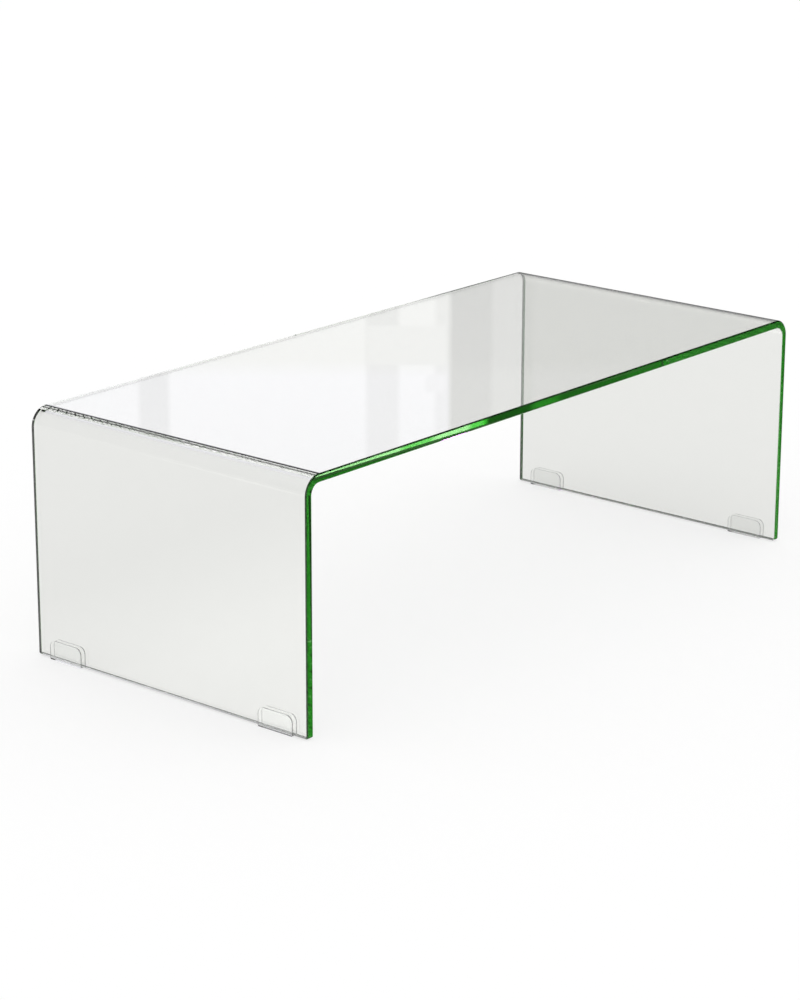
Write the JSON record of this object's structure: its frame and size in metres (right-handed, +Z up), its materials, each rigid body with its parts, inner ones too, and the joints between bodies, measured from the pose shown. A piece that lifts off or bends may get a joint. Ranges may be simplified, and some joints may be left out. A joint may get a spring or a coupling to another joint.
{
  "type": "waterfall coffee table",
  "caption": "Low coffee table made of one clear glass sheet bent down at both ends into legs, with clear clip-on foot pads.",
  "frame": {"origin": "on the floor, under the middle of the table", "axes": "+X along the table towards its right leg, +Y across it towards the back, +Z up"},
  "size_m": [1.1032, 0.5, 0.3555],
  "materials": {
    "clear_glass": "clear float glass, fire-polished faces, ground and polished edges that read green",
    "clear_pad": "clear soft plastic, smooth and slightly glossy"
  },
  "bodies": {
    "root": {"bent_glass_sheet": "clear_glass", "foot_pad_left_front": "clear_pad", "foot_pad_left_back": "clear_pad", "foot_pad_right_front": "clear_pad", "foot_pad_right_back": "clear_pad"}
  },
  "joints": []
}
